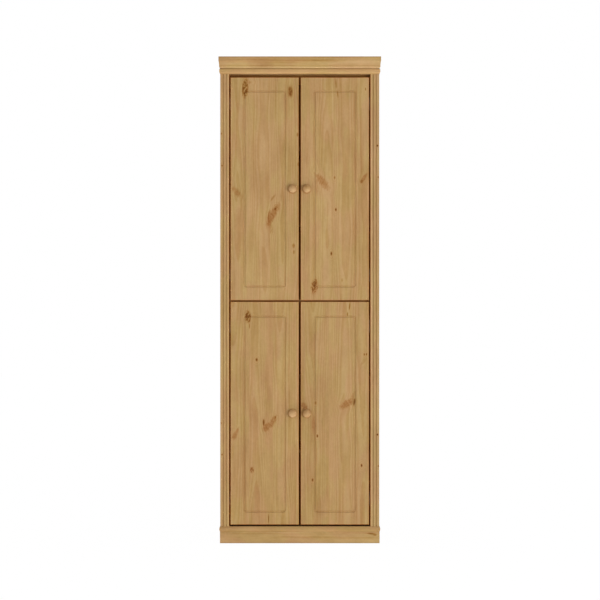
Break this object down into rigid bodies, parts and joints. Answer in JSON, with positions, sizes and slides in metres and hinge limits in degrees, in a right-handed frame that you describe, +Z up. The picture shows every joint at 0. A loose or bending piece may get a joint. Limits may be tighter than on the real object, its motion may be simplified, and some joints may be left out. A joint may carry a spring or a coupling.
{
  "type": "cupboard",
  "caption": "Tall narrow pine cupboard with a moulded cornice, a plinth, grooved inset doors in two rows, fluted stiles, turned knobs and shelves inside.",
  "frame": {"origin": "on the floor, at the middle of the bounding box, knobs included", "axes": "+Z up, +X to the right as seen from the front, +Y from the doors to the back"},
  "size_m": [0.65, 0.417, 1.946],
  "materials": {
    "pine": "clear satin lacquer on knotty pine",
    "pine_knob": "turned and lacquered pine",
    "pine_block": "bare sawn pine",
    "back_board": "thin pine-faced board",
    "beech": "bare beech",
    "nickel_steel": "nickel-plated pressed steel",
    "zinc_steel": "bright zinc-plated steel",
    "catch_plastic": "brown moulded plastic"
  },
  "bodies": {
    "carcass": {"side_panel_left": "pine", "side_panel_right": "pine", "front_stile_left": "pine", "front_stile_right": "pine", "top_panel": "pine", "bottom_panel": "pine", "middle_shelf": "pine", "stop_rail": "pine", "back_panel_lower": "back_board", "back_panel_upper": "back_board", "cornice_front": "pine", "cornice_left": "pine", "cornice_right": "pine", "plinth_front": "pine", "plinth_left": "pine", "plinth_right": "pine", "plinth_back": "pine", "corner_blocks": "pine_block", "shelf_lower_bottom": "pine", "shelf_lower_top": "pine", "shelf_upper_bottom": "pine", "shelf_upper_top": "pine", "shelf_pins": "nickel_steel", "hinge_packing_blocks": "pine_block", "hinge_mounting_plates": "nickel_steel", "hinge_arms": "nickel_steel", "hinge_side_screws": "zinc_steel", "carcass_dowels": "beech", "carcass_screws": "zinc_steel", "back_panel_screws": "zinc_steel", "magnetic_catches": "catch_plastic", "catch_screws": "zinc_steel"},
    "upper_left_door": {"door_panel_upper_left": "pine", "knob_upper_left": "pine_knob", "knob_screw_upper_left": "zinc_steel", "hinge_cups_upper_left": "nickel_steel", "hinge_pins_upper_left": "zinc_steel", "cup_screws_upper_left": "zinc_steel", "strike_plate_upper_left": "zinc_steel"},
    "upper_right_door": {"door_panel_upper_right": "pine", "knob_upper_right": "pine_knob", "knob_screw_upper_right": "zinc_steel", "hinge_cups_upper_right": "nickel_steel", "hinge_pins_upper_right": "zinc_steel", "cup_screws_upper_right": "zinc_steel", "strike_plate_upper_right": "zinc_steel"},
    "lower_left_door": {"door_panel_lower_left": "pine", "knob_lower_left": "pine_knob", "knob_screw_lower_left": "zinc_steel", "hinge_cups_lower_left": "nickel_steel", "hinge_pins_lower_left": "zinc_steel", "cup_screws_lower_left": "zinc_steel", "strike_plate_lower_left": "zinc_steel"},
    "lower_right_door": {"door_panel_lower_right": "pine", "knob_lower_right": "pine_knob", "knob_screw_lower_right": "zinc_steel", "hinge_cups_lower_right": "nickel_steel", "hinge_pins_lower_right": "zinc_steel", "cup_screws_lower_right": "zinc_steel", "strike_plate_lower_right": "zinc_steel"}
  },
  "joints": [
    {"name": "upper_left_door_swing", "type": "hinge", "parent": "carcass", "child": "upper_left_door", "pos_m": [-0.2625, -0.1707, 1.41735], "axis": [0, 0, -1], "range_deg": [0, 100]},
    {"name": "upper_right_door_swing", "type": "hinge", "parent": "carcass", "child": "upper_right_door", "pos_m": [0.2625, -0.1707, 1.41735], "axis": [0, 0, 1], "range_deg": [0, 100]},
    {"name": "lower_left_door_swing", "type": "hinge", "parent": "carcass", "child": "lower_left_door", "pos_m": [-0.2625, -0.1707, 0.51985], "axis": [0, 0, -1], "range_deg": [0, 100]},
    {"name": "lower_right_door_swing", "type": "hinge", "parent": "carcass", "child": "lower_right_door", "pos_m": [0.2625, -0.1707, 0.51985], "axis": [0, 0, 1], "range_deg": [0, 100]}
  ]
}
